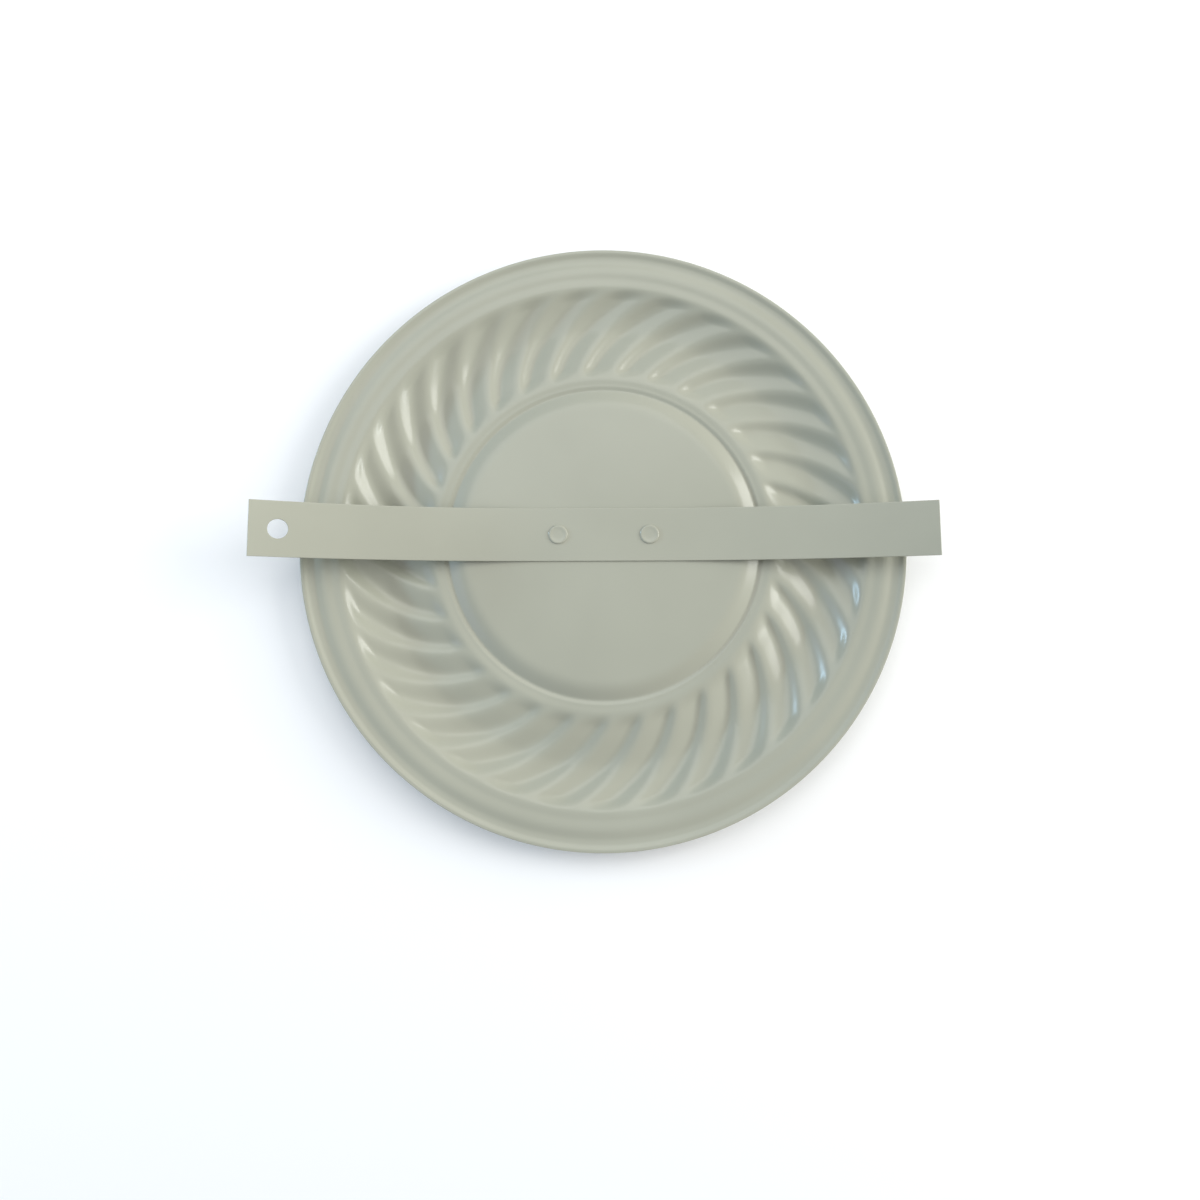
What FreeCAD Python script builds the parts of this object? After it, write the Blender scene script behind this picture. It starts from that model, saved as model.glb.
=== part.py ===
"""Round cover plate for an unused stove-pipe hole, with the spring strap that holds it in the pipe.

The plate is a stamping of thin sheet: a moulded rim, a ring of swirled flutes and a flat centre.
The strap is riveted across its back and both of its arms bow away from the plate.

Frame: the origin is on the plate's axis, in the plane of the rim's back edge, which meets the wall.
+Z points out of the back, into the pipe. +X runs along the strap, away from its hang hole.
"""

import FreeCAD, Part
import math
import os

from FreeCAD import Vector

# ---- driving dimensions, in millimetres and degrees ----

PLATE_RADIUS = 100.0
SHEET = 0.6                  # thickness of the plate's sheet steel
LAND = 0.5                   # width of the flat edge that meets the wall

CENTRE_HEIGHT = -3.85        # back of the flat centre, from the wall plane
# Rounded flanks of the back surface, from the centre outwards: start radius, end radius, rise.
FLANKS = (
    (45.0, 57.5, -3.1),      # soft fall into the groove round the centre
    (51.9, 54.2, 0.85),      # crisp rise out of it
    (51.9, 57.4, 1.05),
    (55.0, 64.1, -0.55),     # down to the bottom of the bowl
    (57.7, 74.2, -0.95),
    (72.0, 81.9, 1.4),       # up the wall, steeper and steeper, to the rim
    (76.4, 89.9, 3.6),
    (83.9, 88.3, 0.35),
    (88.9, 93.4, 0.5),       # bead round the rim
    (92.8, 96.7, -0.35),     # hollow outside the bead
    (95.4, PLATE_RADIUS - LAND, 0.45),
    (97.4, PLATE_RADIUS - LAND, 0.6),
)

FLUTES = 33
FLUTE_DEPTH = (1.2, 1.55)    # ridge to valley, at the first and last flute radius
FLUTE_START = (56.0, 62.0)   # radii over which the flutes deepen
FLUTE_END = (83.5, 87.8)     # radii over which they fade into the wall
FLUTE_VALLEY = 10.5          # angle of one valley at FLUTE_RADIUS
FLUTE_RADIUS = 70.0
FLUTE_TWIST = -0.692         # degrees of turn for each millimetre outwards
FLUTE_CURL = -0.009          # change of that twist, in degrees per square millimetre
VALLEY_NARROW = (1.15, 1.0)  # how narrow the valleys are at the first and last flute radius
VALLEY_LEAN = (0.5, 0.1)     # how much steeper one flank of a flute is than the other, likewise
FLUTED_ZONE = (55.5, 88.0)   # ring made of fluted patches; everything else is turned
PITCH = 360.0 / FLUTES       # the plate is this many degrees, repeated

STRAP_WIDTH = 17.8
STRAP_SHEET = 0.6
STRAP_OFFSET = 2.55          # strap's centreline from the plate's axis
STRAP_SKEW = 0.24            # small turn of the strap on its rivets
CLAMP_HALF = 18.5            # the strap is flat this far each side of its middle
LEFT_ARC_RADIUS = 213.0
LEFT_REACH = 110.6           # from the strap's middle to its end, measured along the plate
RIGHT_ARC_RADIUS = 276.0
RIGHT_REACH = 107.3
FLEX_SHARE = 0.15            # share of an arm's length at which it seems to pivot
FLEX_GAP = 0.2               # gap between two rigid lengths of the strap

HANG_HOLE_RADIUS = 3.1
HANG_HOLE_FROM_END = 8.8     # along the strap

RIVET_PITCH = 30.5
RIVET_RADIUS = 2.0
RIVET_HEAD_RADIUS = 3.15     # flat head, on the strap
RIVET_HEAD_HEIGHT = 0.45
RIVET_DOME_RADIUS = 3.6      # formed head, on the face of the plate
RIVET_DOME_HEIGHT = 1.3

# ---- fineness of the fitted surfaces ----

TURNED_STEP = 0.3            # spacing of the points along a turned section
PATCH_RADIAL_STEP = 1.0
PATCH_STEPS_ROUND = 14       # intervals across one flute
PATCH_MARGIN = 4             # extra intervals outside a patch, trimmed off again
SMALL = 1e-4                 # step for slopes
SEAM_GAP = 1e-6              # how far apart two faces' shared edges may lie


# ---- shape of the sheet ----

def smooth_step(value, start, end):
    """0 before start, 1 after end, with no change of slope or curvature at either."""
    x = min(max((value - start) / (end - start), 0.0), 1.0)
    return x * x * x * (x * (x * 6.0 - 15.0) + 10.0)


def section_height(radius):
    """Height of the back surface without its flutes."""
    return CENTRE_HEIGHT + sum(rise * smooth_step(radius, start, end) for start, end, rise in FLANKS)


def between(ends, share):
    """The value a share of the way from the first of two ends to the second."""
    return ends[0] + share * (ends[1] - ends[0])


def flute_drop(radius, angle):
    """How far the valleys lie below the ridges, at a place given by its radius and angle in degrees."""
    strength = smooth_step(radius, *FLUTE_START) * (1.0 - smooth_step(radius, *FLUTE_END))
    out = radius - FLUTE_RADIUS
    turn = math.radians((angle - FLUTE_VALLEY - FLUTE_TWIST * out - FLUTE_CURL * out * out) * FLUTES)
    share = min(max((radius - FLUTE_START[0]) / (FLUTE_END[1] - FLUTE_START[0]), 0.0), 1.0)
    wave = 0.5 + 0.5 * math.cos(turn - between(VALLEY_LEAN, share) * math.cos(turn))
    return between(FLUTE_DEPTH, share) * strength * wave ** between(VALLEY_NARROW, share)


def back_point(radius, angle):
    """A point of the back surface."""
    turn = math.radians(angle)
    height = section_height(radius) - flute_drop(radius, angle)
    return Vector(radius * math.cos(turn), radius * math.sin(turn), height)


def front_point(radius, angle):
    """The point of the front surface one sheet thickness below the back surface."""
    here = back_point(radius, angle)
    outwards = back_point(radius + SMALL, angle) - here
    round_plate = back_point(radius, angle + SMALL) - here
    normal = outwards.cross(round_plate)
    normal.normalize()
    return here - normal * SHEET


# ---- places on the strap ----

def strap_to_plate(point):
    """A point given along, across and above the strap, in the plate's frame."""
    turn = math.radians(STRAP_SKEW)
    return Vector(point.x * math.cos(turn) - point.y * math.sin(turn),
                  point.x * math.sin(turn) + point.y * math.cos(turn) + STRAP_OFFSET, point.z)


def rivet_places():
    """Where the rivets' axes cross the back of the plate, left one first."""
    return [strap_to_plate(Vector(side * RIVET_PITCH / 2, 0, CENTRE_HEIGHT)) for side in (-1, 1)]


# ---- cover plate ----

def evenly(start, end, step):
    """Values from start to end, both included, about step apart."""
    count = max(round((end - start) / step), 1)
    return [start + (end - start) * i / count for i in range(count + 1)]


def valley_angle(radius):
    """Angle of the valley at which the first sector of the plate starts."""
    return FLUTE_VALLEY + FLUTE_TWIST * (radius - FLUTE_RADIUS)


def turned_sector(point_at, start, end, first_angle):
    """Face turned through one flute's pitch from the section between two radii."""
    curve = Part.BSplineCurve()
    curve.interpolate([point_at(radius, 0.0) for radius in evenly(start, end, TURNED_STEP)])
    face = curve.toShape().revolve(Vector(0, 0, 0), Vector(0, 0, 1), PITCH)
    face.rotate(Vector(0, 0, 0), Vector(0, 0, 1), first_angle)
    return face


def fitted_poles(points):
    """Poles of the cubic curve that passes the points at parameters 0, 1, 2 and on."""
    curve = Part.BSplineCurve()
    curve.interpolate(Points=list(points), Parameters=list(range(len(points))))
    return curve.getPoles()


def fluted_patch(point_at):
    """The stretch of the fluted ring between two neighbouring valleys."""
    radii = evenly(*FLUTED_ZONE, PATCH_RADIAL_STEP)
    step = radii[1] - radii[0]
    rows = len(radii) - 1
    columns = range(-PATCH_MARGIN, PATCH_STEPS_ROUND + PATCH_MARGIN + 1)
    grid = []
    for i in range(-PATCH_MARGIN, rows + PATCH_MARGIN + 1):
        radius = FLUTED_ZONE[0] + i * step
        angles = [valley_angle(radius) + PITCH * j / PATCH_STEPS_ROUND for j in columns]
        grid.append([point_at(radius, angle) for angle in angles])
    fitted_rows = [fitted_poles(row) for row in grid]
    fitted_columns = [fitted_poles(column) for column in zip(*fitted_rows)]
    poles = [list(row) for row in zip(*fitted_columns)]
    knots = [[n - PATCH_MARGIN for n in range(len(line))] for line in (grid, grid[0])]
    multiples = [[4] + [1] * (len(line) - 2) + [4] for line in knots]
    surface = Part.BSplineSurface()
    surface.buildFromPolesMultsKnots(poles, multiples[0], multiples[1], knots[0], knots[1],
                                     False, False, 3, 3)
    surface.segment(0, rows, 0, PATCH_STEPS_ROUND)
    return surface.toShape()


def sheet_side(point_at):
    """Faces of the back or the front of the sheet, from the flat centre to the flat edge."""
    sector = (
        turned_sector(point_at, FLANKS[0][0], FLUTED_ZONE[0], valley_angle(FLUTED_ZONE[0])),
        fluted_patch(point_at),
        turned_sector(point_at, FLUTED_ZONE[1], PLATE_RADIUS - LAND, valley_angle(FLUTED_ZONE[1])),
    )
    faces = []
    for i in range(FLUTES):
        for face in sector:
            copy = face.copy()
            copy.rotate(Vector(0, 0, 0), Vector(0, 0, 1), PITCH * i)
            faces.append(copy)
    return faces


def arc_ring(radius, height, first_angle):
    """Circle made of one arc for each flute."""
    arcs = []
    for i in range(FLUTES):
        angle = first_angle + PITCH * i
        arcs.append(Part.makeCircle(radius, Vector(0, 0, height), Vector(0, 0, 1), angle, angle + PITCH))
    return Part.Wire(arcs)


def rivet_hole(place, height):
    """Outline of a rivet hole in a flat face of the centre."""
    return Part.Wire(Part.makeCircle(RIVET_RADIUS, Vector(place.x, place.y, height)))


def flat_centre(height):
    """Flat disc inside the groove, with its two rivet holes."""
    outline = arc_ring(FLANKS[0][0], height, valley_angle(FLUTED_ZONE[0]))
    return Part.Face([outline] + [rivet_hole(place, height) for place in rivet_places()])


def flat_edge(height):
    """Flat ring at the rim's edge."""
    inner = arc_ring(PLATE_RADIUS - LAND, height, valley_angle(FLUTED_ZONE[1]))
    outer = Part.Wire(Part.makeCircle(PLATE_RADIUS, Vector(0, 0, height)))
    return Part.Face([outer, inner])


def make_cover_plate():
    """The stamped sheet, with its two rivet holes."""
    centre_front = CENTRE_HEIGHT - SHEET
    through = Vector(0, 0, SHEET)
    faces = sheet_side(back_point) + sheet_side(front_point)
    faces += [flat_centre(CENTRE_HEIGHT), flat_centre(centre_front), flat_edge(0.0), flat_edge(-SHEET)]
    faces.append(Part.makeCircle(PLATE_RADIUS, Vector(0, 0, -SHEET)).extrude(through))
    for place in rivet_places():
        faces += rivet_hole(place, centre_front).extrude(through).Faces
    skin = Part.makeCompound(faces)
    skin.sewShape()
    plate = Part.makeSolid(skin)
    plate.fix(SEAM_GAP, SEAM_GAP, 100 * SEAM_GAP)    # turns every face's outside outwards
    return plate


# ---- spring strap ----

def place_strap(shape):
    """Move a shape made along, across and above the strap into the plate's frame."""
    shape.rotate(Vector(0, 0, 0), Vector(0, 0, 1), STRAP_SKEW)
    shape.translate(Vector(0, STRAP_OFFSET, 0))
    return shape


class Arm:
    """One arm of the strap: an arc that leaves the plate at the clamp. side is -1 left, 1 right."""

    def __init__(self, side, arc_radius, reach):
        self.side = side
        self.arc_radius = arc_radius
        self.end = math.asin((reach - CLAMP_HALF) / arc_radius)
        self.flex = FLEX_SHARE * self.end
        self.half_gap = FLEX_GAP / 2 / arc_radius

    def at(self, angle, lift=0.0):
        """Point on the arc, lifted off the strap's underside along its normal."""
        radius = self.arc_radius - lift
        return Vector(self.side * (CLAMP_HALF + radius * math.sin(angle)), 0,
                      CENTRE_HEIGHT + self.arc_radius - radius * math.cos(angle))

    def normal(self, angle):
        """Direction from the underside to the upper side."""
        return Vector(-self.side * math.sin(angle), 0, math.cos(angle))

    def edge(self, start, end, lift):
        """Edge of the strap's long section between two angles."""
        points = [self.at(angle, lift) for angle in (start, (start + end) / 2, end)]
        return Part.Arc(*points).toShape()


LEFT_ARM = Arm(-1, LEFT_ARC_RADIUS, LEFT_REACH)
RIGHT_ARM = Arm(1, RIGHT_ARC_RADIUS, RIGHT_REACH)


def strap_solid(edges):
    """Solid of the strap's full width from the closed outline of its long section."""
    outline = Part.Wire(Part.__sortEdges__(edges))
    outline.translate(Vector(0, -STRAP_WIDTH / 2, 0))
    return Part.Face(outline).extrude(Vector(0, STRAP_WIDTH, 0))


def make_strap_arm(arm):
    """The rigid length of an arm beyond its flex line."""
    start = arm.flex + arm.half_gap
    ends = [Part.makeLine(arm.at(angle), arm.at(angle, STRAP_SHEET)) for angle in (start, arm.end)]
    sides = [arm.edge(start, arm.end, lift) for lift in (0.0, STRAP_SHEET)]
    return strap_solid(ends + sides)


def make_strap_middle():
    """The clamped middle, out to both flex lines."""
    edges = []
    for lift in (0.0, STRAP_SHEET):
        edges.append(Part.makeLine(LEFT_ARM.at(0.0, lift), RIGHT_ARM.at(0.0, lift)))
    for arm in (LEFT_ARM, RIGHT_ARM):
        end = arm.flex - arm.half_gap
        edges += [arm.edge(0.0, end, lift) for lift in (0.0, STRAP_SHEET)]
        edges.append(Part.makeLine(arm.at(end), arm.at(end, STRAP_SHEET)))
    middle = place_strap(strap_solid(edges))
    for place in rivet_places():
        middle = middle.cut(Part.makeCylinder(RIVET_RADIUS, 2 * STRAP_SHEET, place))
    return middle


def make_left_arm():
    """The left arm with its hang hole."""
    angle = LEFT_ARM.end - HANG_HOLE_FROM_END / LEFT_ARM.arc_radius
    below = LEFT_ARM.at(angle, -STRAP_SHEET)
    hole = Part.makeCylinder(HANG_HOLE_RADIUS, 3 * STRAP_SHEET, below, LEFT_ARM.normal(angle))
    return place_strap(make_strap_arm(LEFT_ARM).cut(hole))


def make_right_arm():
    """The right arm."""
    return place_strap(make_strap_arm(RIGHT_ARM))


# ---- rivets ----

def make_rivet(place):
    """A rivet with a flat head on the strap and a formed dome on the face of the plate."""
    head_base = STRAP_SHEET
    head_top = head_base + RIVET_HEAD_HEIGHT
    bevel = RIVET_HEAD_HEIGHT / 3
    dome_base = -SHEET
    dome_side = Vector(RIVET_DOME_RADIUS * 0.74, 0, dome_base - RIVET_DOME_HEIGHT * 0.72)
    corners = [
        Vector(0, 0, dome_base - RIVET_DOME_HEIGHT),
        Vector(RIVET_DOME_RADIUS, 0, dome_base),
        Vector(RIVET_RADIUS, 0, dome_base),
        Vector(RIVET_RADIUS, 0, head_base),
        Vector(RIVET_HEAD_RADIUS, 0, head_base),
        Vector(RIVET_HEAD_RADIUS, 0, head_top - bevel),
        Vector(RIVET_HEAD_RADIUS - bevel, 0, head_top),
        Vector(0, 0, head_top),
    ]
    edges = [Part.Arc(corners[0], dome_side, corners[1]).toShape()]
    edges += [Part.makeLine(a, b) for a, b in zip(corners[1:], corners[2:] + corners[:1])]
    rivet = Part.Face(Part.Wire(edges)).revolve(Vector(0, 0, 0), Vector(0, 0, 1), 360.0)
    rivet.translate(place)
    return rivet


# ---- the pieces ----

def main():
    """Write one file for each piece."""
    left_rivet_place, right_rivet_place = rivet_places()
    pieces = {
        "cover_plate": make_cover_plate(),
        "strap_middle": make_strap_middle(),
        "strap_left_arm": make_left_arm(),
        "strap_right_arm": make_right_arm(),
        "rivet_left": make_rivet(left_rivet_place),
        "rivet_right": make_rivet(right_rivet_place),
    }
    os.makedirs("parts", exist_ok=True)
    for name, shape in pieces.items():
        print(f"{name}: {shape.Volume:.2f} mm3, {len(shape.Faces)} faces, valid {shape.isValid()}")
        shape.exportStep(f"parts/{name}.step")


if __name__ == "__main__":
    main()
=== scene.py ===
"""Looks of the stove-pipe cover plate, which lies face down with its spring strap on top.

Lengths below are in millimetres until a mesh is made, because that is how the sheet is dimensioned.
"""

import math

import bmesh
import bpy
import numpy as np
from mathutils import Matrix, Vector


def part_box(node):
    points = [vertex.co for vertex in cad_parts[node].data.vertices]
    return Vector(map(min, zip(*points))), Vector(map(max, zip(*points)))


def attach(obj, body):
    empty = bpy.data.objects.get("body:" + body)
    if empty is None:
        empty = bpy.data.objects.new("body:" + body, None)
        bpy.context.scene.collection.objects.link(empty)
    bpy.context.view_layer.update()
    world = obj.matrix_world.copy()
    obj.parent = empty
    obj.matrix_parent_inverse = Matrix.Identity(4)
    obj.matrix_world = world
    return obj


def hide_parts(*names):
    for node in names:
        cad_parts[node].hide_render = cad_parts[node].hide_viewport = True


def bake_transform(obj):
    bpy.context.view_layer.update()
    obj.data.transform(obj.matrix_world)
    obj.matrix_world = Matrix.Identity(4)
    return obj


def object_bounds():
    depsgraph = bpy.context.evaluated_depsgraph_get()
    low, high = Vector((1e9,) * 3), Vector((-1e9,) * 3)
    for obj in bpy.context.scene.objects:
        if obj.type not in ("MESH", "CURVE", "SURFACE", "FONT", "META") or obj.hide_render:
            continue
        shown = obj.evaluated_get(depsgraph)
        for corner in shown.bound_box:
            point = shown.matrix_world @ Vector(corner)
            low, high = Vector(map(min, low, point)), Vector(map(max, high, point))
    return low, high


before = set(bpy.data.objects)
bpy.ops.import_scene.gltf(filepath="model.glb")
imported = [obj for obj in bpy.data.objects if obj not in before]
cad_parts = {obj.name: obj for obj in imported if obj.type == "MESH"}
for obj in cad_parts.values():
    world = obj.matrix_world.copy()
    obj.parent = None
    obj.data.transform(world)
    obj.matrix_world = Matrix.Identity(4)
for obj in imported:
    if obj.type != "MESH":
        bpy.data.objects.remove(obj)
cad_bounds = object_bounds()

MM = 0.001

# ---- the stamped sheet ----

PLATE_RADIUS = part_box("cover_plate")[1][0] / MM
SHEET = 0.6                  # thickness
LAND = 0.5                   # width of the flat edge that meets the wall
CENTRE_HEIGHT = -3.85        # back of the flat centre, from the wall plane
# Rounded flanks of the back surface, from the centre outwards: start radius, end radius, rise.
FLANKS = (
    (45.0, 57.5, -3.1),      # soft fall into the groove round the centre
    (51.9, 54.2, 0.85),      # crisp rise out of it
    (51.9, 57.4, 1.05),
    (55.0, 64.1, -0.55),     # down to the bottom of the bowl
    (57.7, 74.2, -0.95),
    (72.0, 81.9, 1.4),       # up the wall, steeper and steeper, to the rim
    (76.4, 89.9, 3.6),
    (83.9, 88.3, 0.35),
    (88.9, 93.4, 0.5),       # bead round the rim
    (92.8, 96.7, -0.35),     # hollow outside the bead
    (95.4, PLATE_RADIUS - LAND, 0.45),
    (97.4, PLATE_RADIUS - LAND, 0.6),
)
FLUTES = 33
FLUTE_DEPTH = (1.2, 1.55)    # ridge to valley, at the first and last flute radius
FLUTE_START = (56.0, 62.0)   # radii over which the flutes deepen
FLUTE_END = (83.5, 87.8)     # radii over which they fade into the wall
FLUTE_VALLEY = 10.5          # angle of one valley at FLUTE_RADIUS
FLUTE_RADIUS = 70.0
FLUTE_TWIST = -0.692         # degrees of turn for each millimetre outwards
FLUTE_CURL = -0.009          # change of that twist, in degrees per square millimetre
VALLEY_NARROW = (1.15, 1.0)  # how narrow the valleys are at the first and last flute radius
VALLEY_LEAN = (0.5, 0.1)     # how much steeper one flank of a flute is than the other, likewise

COLUMNS_PER_FLUTE = 16
# Spacing of the mesh's rings: end radius, step.
RING_STEPS = ((45.0, 2.25), (56.0, 0.3), (82.0, 0.5), (PLATE_RADIUS - LAND, 0.35))
EDGE_ROUNDING = 0.2
EDGE_SEGMENTS = 4
SMALL = 1e-3                 # step for slopes

# ---- the spring strap ----

STRAP_WIDTH = 17.8
STRAP_SHEET = 0.6
STRAP_OFFSET = 2.55          # strap's centreline from the plate's axis
STRAP_SKEW = 0.24            # small turn of the strap on its rivets, in degrees
CLAMP_HALF = 18.5            # the strap is flat this far each side of its middle
ARMS = {
    "left": {"side": -1, "arc_radius": 213.0, "reach": 110.6, "hole_from_end": 8.8},
    "right": {"side": 1, "arc_radius": 276.0, "reach": 107.3, "hole_from_end": None},
}
HANG_HOLE_RADIUS = 3.1
STRAP_STEP = 1.2             # spacing of the strap mesh along its length
STRAP_COLUMNS = 12
EDGE_COLUMN = 0.35           # narrow outermost column, which keeps the shading of the edges crisp
SPARE = 1.0                  # extra length at the middle, cut off after the edges are rounded
CUT_EDGE = 0.16              # rounding of the strap's cut edges
CUT_EDGE_SEGMENTS = 3
HOLE_RESERVE = 4             # columns each side of the hang hole that its ring of quads takes up

# ---- the rivets ----

RIVET_PITCH = 30.5
RIVET_RADIUS = 2.0
RIVET_HEAD_RADIUS = 3.15
RIVET_HEAD_HEIGHT = 0.45
RIVET_DOME_RADIUS = 3.6      # formed head, on the face of the plate
RIVET_DOME_HEIGHT = 1.3
RIVET_SEGMENTS = 72
RIVET_DOME_STEPS = 10
PAINT_FILLET = 0.25          # paint round the foot of the dome
SUNK = 0.1                   # how far a rivet reaches into the sheets, so that no gap shows

# ---- paint and floor ----

PAINT = (0.372, 0.376, 0.306)
MOTTLE = 0.035               # how far the paint's colour strays to each side
SPECK_COLOUR = (0.07, 0.06, 0.05)
SPECK_CELLS = 60.0           # cells per metre, of which a few hold a speck
SPECK_RADIUS = (0.012, 0.024)
SPECK_CHANCE = (0.9, 0.91)   # a cell whose random number is above this holds one
SPECK_STRENGTH = 0.8
ROUGHNESS = (0.2, 0.27)
PEEL_CELLS = 900.0           # orange peel, in bumps per metre
PEEL_HEIGHT = 0.00004        # in metres
PEEL_STRENGTH = 0.12
FLOOR_COLOUR = (0.95, 0.95, 0.95)
FLOOR_ROUGHNESS = 0.9
FLOOR_HALF = 3.0             # in metres

# ---- view ----

FOCAL = 27.0                 # of the lens, as is the sensor's width
SENSOR = 36.0
CAMERA_AT = Vector((-2.1, -35.7, 294.4)) * MM
CAMERA_TILT = 6.2            # towards the top of the plate
CAMERA_YAW = -0.41
CAMERA_SHIFT = (-0.0033, -0.04)

ROOM_STRENGTH = 0.6
ROOM_FADE = 0.65             # how much brighter the lit side is than the mean, and the other side dimmer
ROOM_LIT_SIDE = (28.0, 8.0)  # azimuth and elevation, in degrees
ROOM_COLOUR = (0.98, 1.0, 1.0)
# name, azimuth, elevation, distance and size in metres, power in watts, colour
LIGHTS = (
    ("soft box", 14.0, 26.0, 1.0, (0.6, 0.6), 6.0, (1.0, 1.0, 0.98)),
    ("ceiling lamp", 108.0, 60.0, 0.45, (0.5, 0.3), 0.58, (1.0, 1.0, 0.98)),
    ("key", -5.0, 13.5, 1.0, (0.3, 0.06), 1.3, (0.95, 1.0, 1.0)),
    ("window", 171.5, 13.2, 1.0, (0.5, 0.06), 4.6, (0.5, 0.76, 1.0)),
    ("daylight", 186.0, 33.0, 1.0, (0.9, 0.3), 0.7, (0.6, 0.62, 1.0)),
)


# ---- small helpers ----

def smooth_step(value, start, end):
    """0 before start, 1 after end, with no change of slope or curvature at either."""
    x = np.clip((value - start) / (end - start), 0.0, 1.0)
    return x * x * x * (x * (x * 6.0 - 15.0) + 10.0)


def mesh_piece(name, vertices, faces, material):
    """Object from vertices in millimetres, smooth shaded."""
    mesh = bpy.data.meshes.new(name)
    mesh.from_pydata((np.asarray(vertices) * MM).tolist(), [], faces)
    mesh.polygons.foreach_set("use_smooth", [True] * len(mesh.polygons))
    mesh.materials.append(material)
    mesh.update()
    piece = bpy.data.objects.new(name, mesh)
    bpy.context.collection.objects.link(piece)
    return piece


def ring_faces(rows, columns, start=0):
    """Quads between closed rings of vertices that follow each other in the vertex list."""
    faces = []
    for i in range(rows - 1):
        for j in range(columns):
            k = (j + 1) % columns
            a, b = start + i * columns, start + (i + 1) * columns
            faces.append((a + j, b + j, b + k, a + k))
    return faces


# ---- paint ----

def new_material(name):
    """Material with an empty node tree but for its shader and output."""
    material = bpy.data.materials.new(name)
    material.use_nodes = True
    nodes = material.node_tree.nodes
    return material, nodes, material.node_tree.links, nodes["Principled BSDF"]


def noise(nodes, links, coordinates, scale, detail):
    """Noise texture node on object coordinates."""
    node = nodes.new("ShaderNodeTexNoise")
    node.inputs["Scale"].default_value = scale
    node.inputs["Detail"].default_value = detail
    links.new(coordinates, node.inputs["Vector"])
    return node


def remap(nodes, links, value, low, high, to_low, to_high):
    """Value from one range to another, clamped."""
    node = nodes.new("ShaderNodeMapRange")
    for socket, number in (("From Min", low), ("From Max", high), ("To Min", to_low), ("To Max", to_high)):
        node.inputs[socket].default_value = number
    links.new(value, node.inputs["Value"])
    return node.outputs["Result"]


def enamel(name, colour, speck_seed):
    """Gloss enamel on steel: faint mottling, orange peel, and a few dark specks caught in the paint."""
    material, nodes, links, shader = new_material(name)
    place = nodes.new("ShaderNodeTexCoord").outputs["Object"]

    mottle = noise(nodes, links, place, 22.0, 3.0).outputs["Fac"]
    mix = nodes.new("ShaderNodeMix")
    mix.data_type = "RGBA"
    mix.inputs["A"].default_value = (*[c * (1.0 - MOTTLE) for c in colour], 1.0)
    mix.inputs["B"].default_value = (*[c * (1.0 + MOTTLE) for c in colour], 1.0)
    links.new(remap(nodes, links, mottle, 0.3, 0.7, 0.0, 1.0), mix.inputs["Factor"])

    shift = nodes.new("ShaderNodeMapping")
    shift.inputs["Location"].default_value = (speck_seed, 0.37, 0.11)
    links.new(place, shift.inputs["Vector"])
    cells = nodes.new("ShaderNodeTexVoronoi")
    cells.inputs["Scale"].default_value = SPECK_CELLS
    links.new(shift.outputs["Vector"], cells.inputs["Vector"])
    dot = remap(nodes, links, cells.outputs["Distance"], *SPECK_RADIUS, 1.0, 0.0)
    separate = nodes.new("ShaderNodeSeparateColor")
    links.new(cells.outputs["Color"], separate.inputs["Color"])
    chosen = remap(nodes, links, separate.outputs["Red"], *SPECK_CHANCE, 0.0, SPECK_STRENGTH)
    both = nodes.new("ShaderNodeMath")
    both.operation = "MULTIPLY"
    links.new(dot, both.inputs[0])
    links.new(chosen, both.inputs[1])
    speckled = nodes.new("ShaderNodeMix")
    speckled.data_type = "RGBA"
    speckled.inputs["B"].default_value = (*SPECK_COLOUR, 1.0)
    links.new(mix.outputs["Result"], speckled.inputs["A"])
    links.new(both.outputs["Value"], speckled.inputs["Factor"])
    links.new(speckled.outputs["Result"], shader.inputs["Base Color"])

    smear = noise(nodes, links, place, 35.0, 4.0).outputs["Fac"]
    links.new(remap(nodes, links, smear, 0.3, 0.7, *ROUGHNESS), shader.inputs["Roughness"])

    peel = noise(nodes, links, place, PEEL_CELLS, 2.0).outputs["Fac"]
    bump = nodes.new("ShaderNodeBump")
    bump.inputs["Strength"].default_value = PEEL_STRENGTH
    bump.inputs["Distance"].default_value = PEEL_HEIGHT
    links.new(peel, bump.inputs["Height"])
    links.new(bump.outputs["Normal"], shader.inputs["Normal"])
    return material


# ---- cover plate ----

def section_height(radius):
    """Height of the back surface without its flutes."""
    return CENTRE_HEIGHT + sum(rise * smooth_step(radius, start, end) for start, end, rise in FLANKS)


def flute_drop(radius, angle):
    """How far the valleys lie below the ridges. Angle is in degrees."""
    strength = smooth_step(radius, *FLUTE_START) * (1.0 - smooth_step(radius, *FLUTE_END))
    out = radius - FLUTE_RADIUS
    turn = np.radians((angle - FLUTE_VALLEY - FLUTE_TWIST * out - FLUTE_CURL * out * out) * FLUTES)
    share = np.clip((radius - FLUTE_START[0]) / (FLUTE_END[1] - FLUTE_START[0]), 0.0, 1.0)
    lean = VALLEY_LEAN[0] + share * (VALLEY_LEAN[1] - VALLEY_LEAN[0])
    narrow = VALLEY_NARROW[0] + share * (VALLEY_NARROW[1] - VALLEY_NARROW[0])
    depth = FLUTE_DEPTH[0] + share * (FLUTE_DEPTH[1] - FLUTE_DEPTH[0])
    wave = 0.5 + 0.5 * np.cos(turn - lean * np.cos(turn))
    return depth * strength * wave ** narrow


def back_points(radius, angle):
    """Points of the back surface, as an array of places."""
    turn = np.radians(angle)
    height = section_height(radius) - flute_drop(radius, angle)
    return np.stack([radius * np.cos(turn), radius * np.sin(turn), height], axis=-1)


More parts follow.
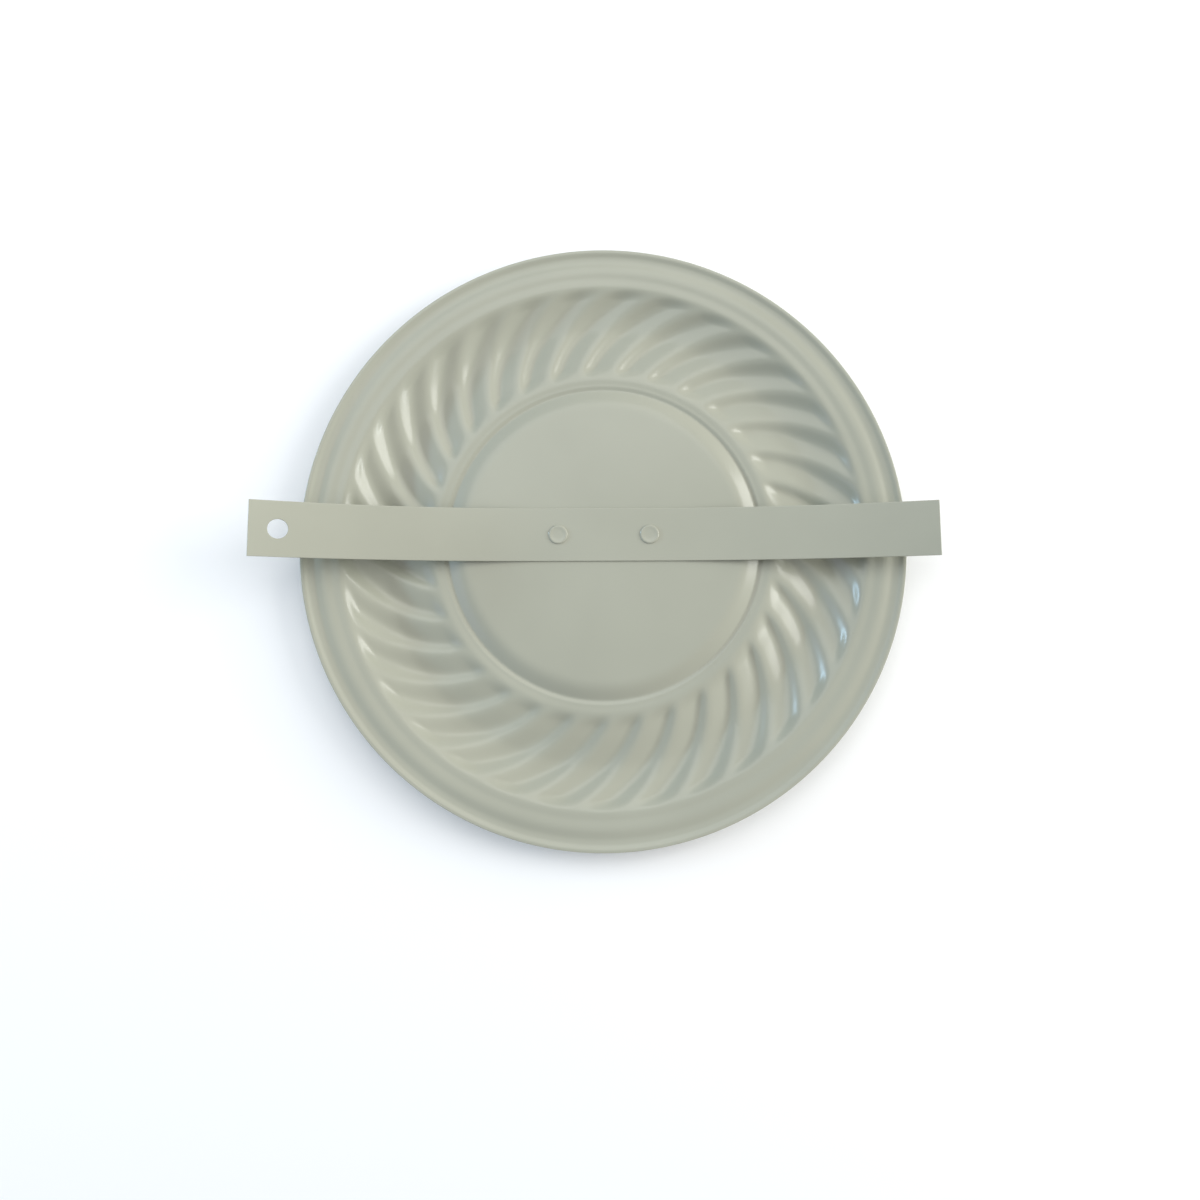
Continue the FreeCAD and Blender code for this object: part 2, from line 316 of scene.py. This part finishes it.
def sheet_points(radius, angle):
    """Points of the back surface and the front points one sheet thickness behind them."""
    here = back_points(radius, angle)
    outwards = back_points(radius + SMALL, angle) - here
    round_plate = back_points(radius, angle + SMALL) - here
    normal = np.cross(outwards, round_plate)
    normal /= np.linalg.norm(normal, axis=-1, keepdims=True)
    return here, here - normal * SHEET


def ring_radii():
    """Radii of the mesh's rings, closer together where the section bends."""
    radii = [RING_STEPS[0][1]]
    for end, step in RING_STEPS:
        count = math.ceil((end - radii[-1]) / step)
        radii += list(np.linspace(radii[-1], end, count + 1)[1:])
    return np.array(radii)


def rounded_edge():
    """Radius and height of points round the cut edge, from the back to the front."""
    inner = PLATE_RADIUS - EDGE_ROUNDING
    turns = np.linspace(0.0, 90.0, EDGE_SEGMENTS + 1)
    back = [(inner + EDGE_ROUNDING * math.sin(math.radians(t)),
             EDGE_ROUNDING * (math.cos(math.radians(t)) - 1.0)) for t in turns]
    front = [(radius, -SHEET - height) for radius, height in reversed(back)]
    return back + front


def make_plate(material):
    """Both sides of the sheet as rings of vertices, joined round the cut edge and closed at the centre."""
    columns = FLUTES * COLUMNS_PER_FLUTE
    angles = np.arange(columns) * 360.0 / columns
    radius, angle = np.meshgrid(ring_radii(), angles, indexing="ij")
    back, front = sheet_points(radius, angle)
    turn = np.radians(angles)
    edge = np.array([[(r * math.cos(t), r * math.sin(t), z) for t in turn] for r, z in rounded_edge()])
    rings = np.concatenate([back, edge, front[::-1]])
    rows = len(rings)
    vertices = rings.reshape(-1, 3).tolist()
    faces = ring_faces(rows, columns)
    top, bottom = len(vertices), len(vertices) + 1
    vertices += [(0.0, 0.0, CENTRE_HEIGHT), (0.0, 0.0, CENTRE_HEIGHT - SHEET)]
    last = (rows - 1) * columns
    for j in range(columns):
        k = (j + 1) % columns
        faces.append((top, j, k))
        faces.append((bottom, last + k, last + j))
    return mesh_piece("plate_skin", vertices, faces, material)


# ---- strap ----

def strap_to_plate(points):
    """Points given along, across and above the strap, in the plate's frame."""
    turn = math.radians(STRAP_SKEW)
    x, y, z = points[..., 0], points[..., 1], points[..., 2]
    return np.stack([x * math.cos(turn) - y * math.sin(turn),
                     x * math.sin(turn) + y * math.cos(turn) + STRAP_OFFSET, z], axis=-1)


def bow(arm, points):
    """Bend flat points (distance from the middle, across, above the underside) into the arm's shape."""
    along, across, above = points[..., 0], points[..., 1], points[..., 2]
    flat = np.minimum(along, CLAMP_HALF)
    turn = np.maximum(along - CLAMP_HALF, 0.0) / arm["arc_radius"]
    radius = arm["arc_radius"] - above
    x = arm["side"] * (flat + radius * np.sin(turn))
    z = CENTRE_HEIGHT + arm["arc_radius"] - radius * np.cos(turn)
    return strap_to_plate(np.stack([x, across, z], axis=-1))


def arm_length(arm):
    """Length of the strap from its middle to the arm's end."""
    return CLAMP_HALF + arm["arc_radius"] * math.asin((arm["reach"] - CLAMP_HALF) / arm["arc_radius"])


def flat_strap(arm):
    """Flat half strap as quads, with a ring of quads round the hang hole and a little spare at the middle."""
    length = arm_length(arm)
    side = STRAP_WIDTH / 2 - EDGE_COLUMN
    inner = np.linspace(-side, side, STRAP_COLUMNS + 1)
    across = np.array([-STRAP_WIDTH / 2, *inner, STRAP_WIDTH / 2])
    reserve = HOLE_RESERVE * (inner[1] - inner[0])
    stops = [-SPARE, length - EDGE_COLUMN]
    if arm["hole_from_end"]:
        centre = length - arm["hole_from_end"]
        stops = [-SPARE, centre - reserve, centre + reserve, length - EDGE_COLUMN]
    along = stops[:1]
    for end in stops[1:]:
        count = math.ceil((end - along[-1]) / STRAP_STEP)
        along += list(np.linspace(along[-1], end, count + 1)[1:])
    along = np.array([*along, length])
    vertices = [(s, y, 0.0) for s in along for y in across]
    width = len(across)
    faces = []
    kept = []
    for i in range(len(along) - 1):
        for j in range(width - 1):
            quad = (i * width + j, (i + 1) * width + j, (i + 1) * width + j + 1, i * width + j + 1)
            s, y = (along[i] + along[i + 1]) / 2, (across[j] + across[j + 1]) / 2
            if arm["hole_from_end"] and abs(s - centre) < reserve and abs(y) < reserve:
                kept.append(quad)
            else:
                faces.append(quad)
    if kept:
        add_hole(vertices, faces, kept, centre)
    return vertices, faces


def add_hole(vertices, faces, kept, centre):
    """Replace the kept quads, which form a square, by quads between the square and the round hole."""
    edges = {}
    for quad in kept:
        for a, b in zip(quad, quad[1:] + quad[:1]):
            if (b, a) in edges:
                del edges[(b, a)]
            else:
                edges[(a, b)] = True
    follow = {a: b for a, b in edges}
    loop = [next(iter(follow))]
    while follow[loop[-1]] != loop[0]:
        loop.append(follow[loop[-1]])
    outer = np.array([vertices[v] for v in loop])
    turns = np.arctan2(outer[:, 1], outer[:, 0] - centre)
    circle = np.stack([centre + HANG_HOLE_RADIUS * np.cos(turns), HANG_HOLE_RADIUS * np.sin(turns),
                       np.zeros(len(loop))], axis=-1)
    rings = [loop]
    gap = np.linalg.norm(circle - outer, axis=1, keepdims=True)
    for share in (0.4, 0.75, 1.0 - EDGE_COLUMN / gap, 1.0):
        start = len(vertices)
        vertices += [tuple(p) for p in outer + (circle - outer) * share]
        rings.append(list(range(start, start + len(loop))))
    for first, second in zip(rings, rings[1:]):
        for i in range(len(loop)):
            k = (i + 1) % len(loop)
            faces.append((first[i], first[k], second[k], second[i]))


def drop_loose_vertices(piece):
    """Delete vertices that no face uses."""
    mesh = bmesh.new()
    mesh.from_mesh(piece.data)
    loose = [v for v in mesh.verts if not v.link_faces]
    bmesh.ops.delete(mesh, geom=loose, context="VERTS")
    mesh.to_mesh(piece.data)
    mesh.free()


def cut_at_middle(piece):
    """Cut off the spare length and close the cut with a flat face, so that the two halves meet unseen."""
    mesh = bmesh.new()
    mesh.from_mesh(piece.data)
    everything = mesh.verts[:] + mesh.edges[:] + mesh.faces[:]
    cut = bmesh.ops.bisect_plane(mesh, geom=everything, plane_co=(0, 0, 0), plane_no=(-1, 0, 0),
                                 clear_outer=True)["geom_cut"]
    edges = [e for e in cut if isinstance(e, bmesh.types.BMEdge)]
    bmesh.ops.contextual_create(mesh, geom=edges)
    for edge in edges:
        edge.smooth = False
    mesh.to_mesh(piece.data)
    mesh.free()


def applied(piece):
    """Replace the piece's mesh by what its modifiers make of it."""
    graph = bpy.context.evaluated_depsgraph_get()
    mesh = bpy.data.meshes.new_from_object(piece.evaluated_get(graph))
    piece.modifiers.clear()
    piece.data = mesh


def make_strap_half(name, material):
    """Half of the strap, from its middle to the end of one arm."""
    arm = ARMS[name]
    vertices, faces = flat_strap(arm)
    piece = mesh_piece(f"strap_{name}", vertices, faces, material)
    drop_loose_vertices(piece)
    thick = piece.modifiers.new("thickness", "SOLIDIFY")
    thick.thickness = STRAP_SHEET * MM
    thick.offset = 1.0
    bevel = piece.modifiers.new("cut edges", "BEVEL")
    bevel.width = CUT_EDGE * MM
    bevel.segments = CUT_EDGE_SEGMENTS
    bevel.limit_method = "ANGLE"
    bevel.angle_limit = math.radians(50)
    applied(piece)
    cut_at_middle(piece)
    places = np.array([v.co for v in piece.data.vertices]) / MM
    places[:, 2] -= places[:, 2].min()
    bent = bow(arm, places) * MM
    piece.data.vertices.foreach_set("co", bent.ravel())
    if arm["side"] < 0:
        piece.data.flip_normals()
    piece.data.update()
    return piece


# ---- rivets ----

def turned_piece(name, outline, centre, material):
    """Solid turned from an outline of radius and height that starts and ends on the axis."""
    turns = np.linspace(0.0, 2 * math.pi, RIVET_SEGMENTS, endpoint=False)
    vertices = [(centre[0], centre[1], centre[2] + outline[0][1])]
    for radius, height in outline[1:-1]:
        vertices += [(centre[0] + radius * math.cos(t), centre[1] + radius * math.sin(t),
                      centre[2] + height) for t in turns]
    vertices.append((centre[0], centre[1], centre[2] + outline[-1][1]))
    faces = ring_faces(len(outline) - 2, RIVET_SEGMENTS, 1)
    last = len(vertices) - 1
    final_ring = last - RIVET_SEGMENTS
    for j in range(RIVET_SEGMENTS):
        k = (j + 1) % RIVET_SEGMENTS
        faces.append((0, 1 + j, 1 + k))
        faces.append((last, final_ring + k, final_ring + j))
    return mesh_piece(name, vertices, faces, material)


def rivet_outline():
    """Section of a painted rivet from the middle of its flat head to the top of its formed dome."""
    top = STRAP_SHEET + RIVET_HEAD_HEIGHT
    rim = RIVET_HEAD_RADIUS
    head = [(0.0, top - 0.16), (1.2, top - 0.16), (1.9, top - 0.13), (2.35, top - 0.04), (2.6, top),
            (2.8, top - 0.01), (2.98, top - 0.06), (rim - 0.05, top - 0.15), (rim, top - 0.27),
            (rim, STRAP_SHEET + 0.05), (rim + 0.05, STRAP_SHEET),
            (rim + 0.05, STRAP_SHEET - SUNK), (RIVET_RADIUS, STRAP_SHEET - SUNK)]
    base = -SHEET
    foot = RIVET_DOME_RADIUS + PAINT_FILLET
    dome = [(RIVET_RADIUS, base + SUNK), (foot, base + SUNK), (foot, base),
            (RIVET_DOME_RADIUS + 0.08, base - 0.05)]
    for i in range(1, RIVET_DOME_STEPS):
        t = math.radians(90.0 * i / RIVET_DOME_STEPS)
        dome.append((RIVET_DOME_RADIUS * math.cos(t) ** 0.8, base - RIVET_DOME_HEIGHT * math.sin(t)))
    dome.append((0.0, base - RIVET_DOME_HEIGHT))
    return head + dome


def make_rivet(name, side, material):
    """One rivet, in place."""
    place = strap_to_plate(np.array([side * RIVET_PITCH / 2, 0.0, CENTRE_HEIGHT]))
    piece = turned_piece(name, rivet_outline(), place, material)
    piece.data.flip_normals()
    return piece


# ---- floor, lights and camera ----

def make_floor():
    """Pale floor under the plate."""
    material, _, _, shader = new_material("floor")
    shader.inputs["Base Color"].default_value = (*FLOOR_COLOUR, 1.0)
    shader.inputs["Roughness"].default_value = FLOOR_ROUGHNESS
    height = cad_bounds[0][2]
    half = FLOOR_HALF
    mesh = bpy.data.meshes.new("floor")
    corners = [(-half, -half, height), (half, -half, height), (half, half, height), (-half, half, height)]
    mesh.from_pydata(corners, [], [(0, 1, 2, 3)])
    mesh.materials.append(material)
    floor = bpy.data.objects.new("floor", mesh)
    bpy.context.collection.objects.link(floor)


def area_light(name, azimuth, elevation, distance, size, power, colour):
    """Rectangular soft light that points at the plate."""
    light = bpy.data.lights.new(name, "AREA")
    light.shape = "RECTANGLE"
    light.size, light.size_y = size
    light.energy = power
    light.color = colour
    a, e = math.radians(azimuth), math.radians(elevation)
    direction = Vector((math.cos(a) * math.cos(e), math.sin(a) * math.cos(e), math.sin(e)))
    lamp = bpy.data.objects.new(name, light)
    lamp.location = direction * distance
    lamp.rotation_euler = direction.to_track_quat("Z", "Y").to_euler()
    bpy.context.collection.objects.link(lamp)


def make_lights():
    """A bright room that fades from its lit side to its dim side, and the windows that show as highlights."""
    for light in LIGHTS:
        area_light(*light)
    world = bpy.data.worlds.new("room")
    world.use_nodes = True
    nodes, links = world.node_tree.nodes, world.node_tree.links
    a, e = (math.radians(angle) for angle in ROOM_LIT_SIDE)
    towards = nodes.new("ShaderNodeVectorMath")
    towards.operation = "DOT_PRODUCT"
    towards.inputs[1].default_value = (math.cos(a) * math.cos(e), math.sin(a) * math.cos(e), math.sin(e))
    links.new(nodes.new("ShaderNodeTexCoord").outputs["Generated"], towards.inputs[0])
    brightness = remap(nodes, links, towards.outputs["Value"], -1.0, 1.0,
                       ROOM_STRENGTH * (1.0 - ROOM_FADE), ROOM_STRENGTH * (1.0 + ROOM_FADE))
    background = nodes["Background"]
    background.inputs["Color"].default_value = (*ROOM_COLOUR, 1.0)
    links.new(brightness, background.inputs["Strength"])
    bpy.context.scene.world = world


def make_camera():
    """Camera above the back of the plate, slightly below its middle and tilted up to it."""
    data = bpy.data.cameras.new("camera")
    data.lens = FOCAL
    data.sensor_width = SENSOR
    data.shift_x, data.shift_y = CAMERA_SHIFT
    data.clip_start = 0.01
    camera = bpy.data.objects.new("camera", data)
    tilt = Matrix.Rotation(math.radians(CAMERA_TILT), 3, "X")
    turn = tilt @ Matrix.Rotation(math.radians(CAMERA_YAW), 3, "Y")
    camera.matrix_world = Matrix.Translation(CAMERA_AT) @ turn.to_4x4()
    bpy.context.collection.objects.link(camera)
    bpy.context.scene.camera = camera
    bpy.context.scene.view_settings.view_transform = "Standard"


# ---- put together ----

def dress_plate(material):
    """The plate's own skin in place of the CAD sheet."""
    skin = make_plate(material)
    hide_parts("cover_plate")
    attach(skin, "root")


def dress_strap(material):
    """Two half straps that meet without a visible seam, each bowed into its arm's shape."""
    for name, arm in ARMS.items():
        half = make_strap_half(name, material)
        if name == "left":
            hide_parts("strap_left_arm", "strap_middle")
        else:
            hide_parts("strap_right_arm")
        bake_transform(half)


def dress_rivets(material):
    """Painted rivets with dished heads."""
    for name, side in (("left", -1), ("right", 1)):
        rivet = make_rivet(f"rivet_head_{name}", side, material)
        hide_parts(f"rivet_{name}")
        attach(rivet, "root")


dress_plate(enamel("plate enamel", PAINT, 0.0))
dress_strap(enamel("strap enamel", PAINT, 0.23))
dress_rivets(enamel("rivet enamel", PAINT, 0.61))
make_floor()
make_lights()
make_camera()
